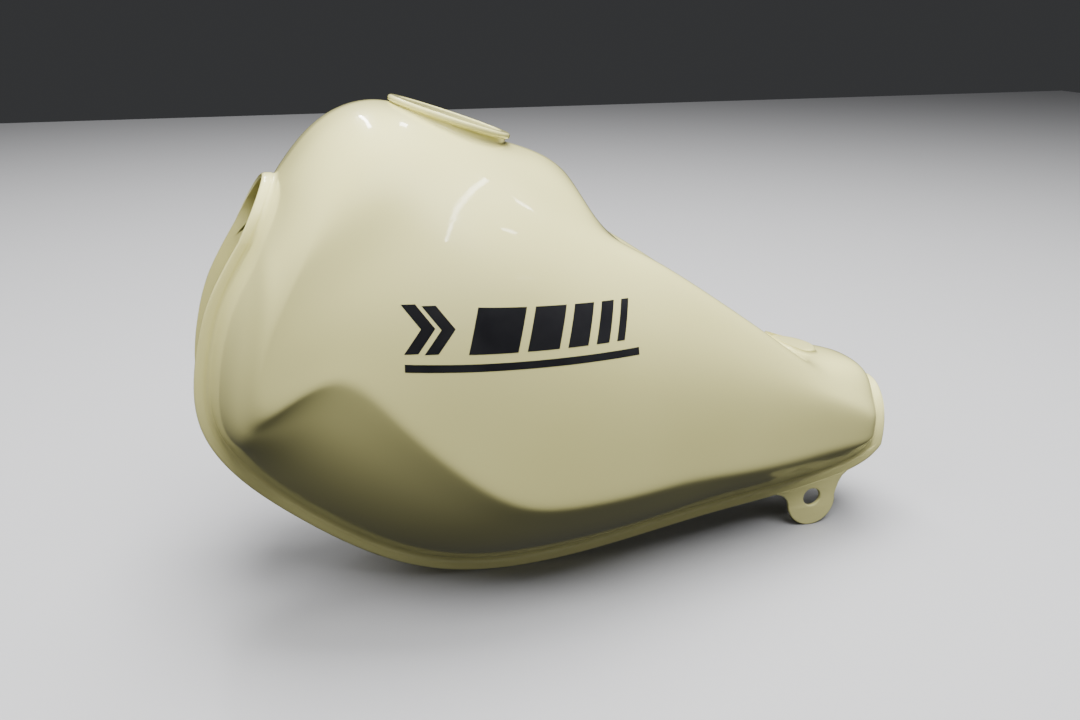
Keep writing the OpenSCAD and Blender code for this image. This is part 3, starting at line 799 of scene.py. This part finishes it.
def neck_cam_lip():
    """The inward lip, with two notches that a bayonet cap's tongues pass."""
    notch_half, notch_depth = 7.0, 28.0
    side = math.degrees(math.acos(notch_half / LIP_R))
    corner = math.sqrt(notch_depth ** 2 - notch_half ** 2)
    half = circle((0, 0), LIP_R, -side, side, 60)
    half = np.array(half + [(notch_half * k, corner) for k in (1, 0.5, 0, -0.5, -1)])
    loop = np.concatenate([half, -half])
    way = unit(loop)
    bevel = 0.3
    low, high = COLLAR_TOP - LIP_DROP, COLLAR_TOP - LIP_DROP + LIP_T
    section = [(bevel, low), (0, low + bevel), (0, high - bevel), (bevel, high)]
    rings = np.stack([np.concatenate([loop + way * out, np.full((len(loop), 1), z)], 1)
                      for out, z in section]
                     + [np.concatenate([way * NECK_BORE, np.full((len(loop), 1), z)], 1)
                        for z in (high, low)], 1)
    rings = moved(FILLER, rings)
    piece("neck_cam_lip", rings.reshape(-1, 3), ring_faces(rings), "plated_steel", sharp=30)


def tail_boss():
    """The low round boss, very slightly crowned, with a rounded edge."""
    middle, edge = 0.8, 1.8
    profile = [(r, BOSS_TOP + rise) for r, rise in ((middle, 0.15), (6, 0.13), (11, 0.07))]
    profile += circle((BOSS_R - edge, BOSS_TOP - edge), edge, 90, 0, 8)
    profile += [(BOSS_R, -BOSS_DEPTH), (middle, -BOSS_DEPTH)]
    parts = [lathe(BOSS, profile, 96, True), weld_fillet(BOSS, BOSS_R, 2.2, 96)]
    piece("tail_boss", *gather(parts), "cream_paint")


def outlet_bung():
    """The bung, welded to the sloping underside. Its thread is turned as plain grooves."""
    low, high, bevel = bung_low.z, bung_high.z, 1
    turns = int((high - low) / THREAD_PITCH) - 1
    first = (low + high - turns * THREAD_PITCH) / 2
    bore = [(BUNG_BORE + (THREAD_DEPTH if k % 2 else 0), first + k * THREAD_PITCH / 2)
            for k in range(2 * turns + 1)]
    profile = [(BUNG_BORE + THREAD_DEPTH, low), (BUNG_R - bevel, low), (BUNG_R, low + bevel),
               (BUNG_R, high - bevel), (BUNG_R - bevel, high), (BUNG_BORE + THREAD_DEPTH, high)]
    profile += bore[::-1]
    parts = [lathe(BUNG, profile, 96), weld_fillet(BUNG, BUNG_R, 1.6, 96, below=True)]
    piece("outlet_bung", *gather(parts), "cream_paint", sharp=35)


def bung_backing_ring():
    """The ring round the bung inside the tank."""
    low, high = (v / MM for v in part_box("bung_backing_ring"))
    outer = high.y - bung_pos[1]
    profile = rounded([(BUNG_R, low.z, 0), (outer, low.z, 0.4), (outer, high.z, 0.6),
                       (BUNG_R, high.z, 0.3)], 4)
    piece("bung_backing_ring", *lathe(BUNG, profile, 96), "plated_steel")


filler_collar()
filler_neck()
neck_cam_lip()
tail_boss()
outlet_bung()
bung_backing_ring()


# ---- Ear and channels -----------------------------------------------------------------------
def rear_ear():
    """The ear, which lies over the left flange and runs down from it round its hole."""
    hole, _, hole_r = mount("ear_hole")
    rim = circle((hole[0], hole[2]), hole_r, 0, -360, 72, False)
    end = (hole[0], EAR_R)
    reach = math.sqrt((EAR_R + EAR_FILLET) ** 2 - (EAR_R - EAR_FILLET_Z) ** 2)
    fillet = (end[0] - reach, EAR_FILLET_Z)
    meet = math.degrees(math.atan2(EAR_R - EAR_FILLET_Z, reach))
    top = [tuple(p) for p in flange_edge(EAR_LAP) if fillet[0] < p[0] < EAR_REAR]
    hollow = circle(fillet, EAR_FILLET, 90, meet, 20)
    nose = circle(end, EAR_R, meet - 180, 10, 60)
    rear = [(end[0] + EAR_R + behind, z) for behind, z in EAR_SIDE]
    outline = top[::-1] + hollow + nose + rear
    piece("rear_ear", *plate(outline, [rim], -EAR_OUTER, -EAR_INNER, 0.9), "cream_paint")


def front_channel(name, side):
    """A U-shaped channel welded to the tunnel wall, open to the front."""
    outer = CHANNEL_R + CHANNEL_WALL
    x, z = channel_pos[[0, 2]]
    outline = [(x - CHANNEL_LEG, z - outer)] + circle((x, z), outer, -90, 90, 48)
    outline += [(x - CHANNEL_LEG, z + outer), (x - CHANNEL_LEG, z + CHANNEL_R)]
    outline += circle((x, z), CHANNEL_R, 90, -90, 40) + [(x - CHANNEL_LEG, z - CHANNEL_R)]
    points, faces = plate(outline, [], CHANNEL_INNER, TUNNEL_Y - SHEET, 0.7)
    piece(name, points * (1, side, 1), faces, "cream_paint")


rear_ear()
front_channel("front_channel_left", -1)
front_channel("front_channel_right", 1)


# ---- Side graphics --------------------------------------------------------------------------
GRAPHIC_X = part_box("pinstripe_right")[0].x / MM
GRAPHIC_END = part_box("pinstripe_right")[1].x / MM
CHEVRON_WIDTH = 7
CHEVRON_STEP = 10
CHEVRON_TIP = 9
BAR_WIDTHS = [26, 18, 12, 8, 5]
BAR_GAP = 5
BAR_SLANT = 6
BARS_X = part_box("bars_right")[0].x / MM
STRIPE = 4
FILM_ABOVE = 0.12
FILM_BELOW = 0.15
FILM_STEP = 1.5
# The part of a rib, from centre to root, that is the side
SIDE_FROM = 0.2
SIDE_TO = 0.8

side_tree = KDTree(NU * NV)
for number, point in enumerate(skin_points(U, V).reshape(-1, 3)):
    if SIDE_FROM < V[number % NV] < SIDE_TO:
        side_tree.insert((point[0], 0, point[2]), number)
side_tree.balance()


def skin_at(u, v):
    """Points of the skin at pairs of parameters."""
    return np.einsum("ki,ijc,kj->kc", spline_weights(u, NET.shape[0]), NET,
                     spline_weights(v, NET.shape[1]))


def on_side(places):
    """Points and normals of the right side's skin at places (x, z), found by Newton's steps
    from the nearest grid point."""
    near = [side_tree.find((x, 0, z))[1] for x, z in places]
    u, v = U[np.array(near) // NV], V[np.array(near) % NV]
    h = 1e-5
    for _ in range(5):
        here = skin_at(u, v)
        du, dv = (skin_at(u + h, v) - here) / h, (skin_at(u, v + h) - here) / h
        miss = places - here[:, [0, 2]]
        det = du[:, 0] * dv[:, 2] - du[:, 2] * dv[:, 0]
        u = u + (miss[:, 0] * dv[:, 2] - miss[:, 1] * dv[:, 0]) / det
        v = v + (miss[:, 1] * du[:, 0] - miss[:, 0] * du[:, 2]) / det
    return skin_at(u, v), unit(np.cross(du, dv))


def line_z(z, fall, x):
    """Height at x of one of the three lines of the graphic, which fall gently to the rear."""
    return z - fall * (x - GRAPHIC_X)


def top_z(x):
    """Upper edge of the chevrons and bars."""
    return line_z(192.5, 0.1, x)


def foot_z(x):
    """Lower edge of the chevrons and bars."""
    return line_z(168, 0.06, x)


def stripe_z(x):
    """Upper edge of the pinstripe."""
    return line_z(163, 0.058, x)


def film_patch(left, right):
    """A thin patch on the right side between two upright polylines, given bottom to top."""
    left, right = np.array(left, float), np.array(right, float)
    across = max(2, int(np.abs(right - left).max() / FILM_STEP))
    up = max(2, int(np.linalg.norm(left[1] - left[0]) / FILM_STEP))
    rows = []
    for k in range(len(left) - 1):
        for t in np.arange(up + (k == len(left) - 2)) / up:
            a, b = left[k] + (left[k + 1] - left[k]) * t, right[k] + (right[k + 1] - right[k]) * t
            rows.append(a + (b - a) * np.linspace(0, 1, across + 1)[:, None])
    grid = np.array(rows)
    shape = grid.shape[:2]
    points, normals = on_side(grid.reshape(-1, 2))
    n = len(points)
    index = np.arange(n).reshape(shape)
    border = np.concatenate([index[0, :-1], index[:-1, -1], index[-1, :0:-1], index[:0:-1, 0]])
    after = np.roll(border, -1)
    top = quads(*shape)
    faces = top.tolist() + (top[:, ::-1] + n).tolist()
    faces += np.stack([border, border + n, after + n, after], 1).tolist()
    return np.concatenate([points + normals * FILM_ABOVE, points - normals * FILM_BELOW]), faces


def chevrons():
    """Two chevrons that point to the rear."""
    for k in range(2):
        x = GRAPHIC_X + k * CHEVRON_STEP
        tip = (x + CHEVRON_TIP, (top_z(x) + foot_z(x)) / 2)
        left = [(x, foot_z(x)), tip, (x, top_z(x))]
        yield film_patch(left, [(a + CHEVRON_WIDTH, b) for a, b in left])


def bar_row():
    """Slanted bars, each narrower than the one before."""
    x = BARS_X
    for width in BAR_WIDTHS:
        end = x + width
        yield film_patch([(x, foot_z(x)), (x + BAR_SLANT, top_z(x))],
                         [(end, foot_z(end)), (end + BAR_SLANT, top_z(end))])
        x = end + BAR_GAP


def pinstripe():
    """The stripe below the chevrons and bars."""
    a, b = GRAPHIC_X, GRAPHIC_END
    yield film_patch([(a, stripe_z(a) - STRIPE), (a, stripe_z(a))],
                     [(b, stripe_z(b) - STRIPE), (b, stripe_z(b))])


for name, patches in (("mark", chevrons), ("bars", bar_row), ("pinstripe", pinstripe)):
    points, faces = gather(patches())
    for side_name, side in (("left", -1), ("right", 1)):
        piece(f"{name}_{side_name}", points * (1, side, 1), faces, "black_film")


# ---- Camera, light and floor ----------------------------------------------------------------
LENS = 36.667
CAMERA_TARGET = Vector((-0.015, 0, 0.12237))
CAMERA_AZIMUTH = math.radians(-16)
CAMERA_ELEVATION = math.radians(19)
CAMERA_DISTANCE = 0.6765
back_way = Vector((math.sin(CAMERA_AZIMUTH) * math.cos(CAMERA_ELEVATION),
                   -math.cos(CAMERA_AZIMUTH) * math.cos(CAMERA_ELEVATION),
                   math.sin(CAMERA_ELEVATION)))
camera_data = bpy.data.cameras.new("camera")
camera_data.lens = LENS
camera = bpy.data.objects.new("camera", camera_data)
camera.location = CAMERA_TARGET + back_way * CAMERA_DISTANCE
camera.rotation_euler = (-back_way).to_track_quat("-Z", "Y").to_euler()
bpy.context.scene.collection.objects.link(camera)
bpy.context.scene.camera = camera


def softbox(name, place, target, width, height, power, mirrored=True):
    """A rectangular light that faces its target; one that isn't mirrored leaves no highlight."""
    light = bpy.data.lights.new(name, "AREA")
    light.shape = "RECTANGLE"
    light.size = width
    light.size_y = height
    light.energy = power
    obj = bpy.data.objects.new(name, light)
    obj.location = place
    way = Vector(target) - Vector(place)
    obj.rotation_euler = way.to_track_quat("-Z", "Y").to_euler()
    obj.visible_glossy = mirrored
    bpy.context.scene.collection.objects.link(obj)
    return obj


# Soft lights: name, place, target, width and height in metres, and power
SOFT_LIGHTS = [("key_light", (0.1, -0.75, 1.6), (0, 0, 0.12), 1.2, 0.9, 47),
               ("fill_light", (0.3, -1.7, 0.55), (0, 0, 0.10), 1.4, 0.7, 4),
               ("top_light", (0.1, 0.3, 1.7), (0, 0, 0.12), 1.2, 1.0, 84),
               ("front_light", (-1.4, -0.4, 1.3), (-0.1, 0, 0.15), 0.7, 0.7, 15)]
for row in SOFT_LIGHTS:
    softbox(*row, mirrored=False)

# Narrow ceiling lamps, which draw the small highlights: two ends, width and power of each
CEILING = 1.4
LAMPS = [((1.04, 0.35), (0.18, -1.48), 0.03, 5.0), ((-0.25, 1.75), (-0.22, 0.75), 0.06, 8.0),
         ((0.40, 0.80), (0.45, 1.00), 0.10, 2.0), ((1.10, -0.40), (1.30, -0.30), 0.05, 0.8),
         ((1.30, 0.40), (1.50, 0.52), 0.05, 0.8), ((1.95, -1.90), (2.15, -1.50), 0.08, 0.6)]
for k, (start, end, width, power) in enumerate(LAMPS):
    start, end = Vector((*start, CEILING)), Vector((*end, CEILING))
    middle = (start + end) / 2
    lamp = softbox(f"lamp_{k}", middle, middle - Vector((0, 0, 1)), (end - start).length, width,
                   power)
    lamp.rotation_euler = (0, 0, math.atan2(end.y - start.y, end.x - start.x))

# A faint, slightly cool light from all round
world = bpy.data.worlds.new("studio")
world.use_nodes = True
world.node_tree.nodes["Background"].inputs["Color"].default_value = (0.80, 0.82, 0.86, 1)
world.node_tree.nodes["Background"].inputs["Strength"].default_value = 0.05
bpy.context.scene.world = world

FLOOR_HALF = 2.5
floor_mesh = bpy.data.meshes.new("floor")
floor_mesh.from_pydata([(-FLOOR_HALF, -FLOOR_HALF, 0), (FLOOR_HALF, -FLOOR_HALF, 0),
                        (FLOOR_HALF, FLOOR_HALF, 0), (-FLOOR_HALF, FLOOR_HALF, 0)], [],
                       [(0, 1, 2, 3)])
floor = bpy.data.objects.new("floor", floor_mesh)
floor_material, _, floor_shader = new_material("floor")
floor_shader.inputs["Base Color"].default_value = (0.38, 0.38, 0.39, 1)
floor_shader.inputs["Roughness"].default_value = 0.6
floor_mesh.materials.append(floor_material)
bpy.context.scene.collection.objects.link(floor)
# The floor is seen but sends no light back, so the underside keeps its depth
floor.visible_diffuse = False
floor.visible_glossy = False
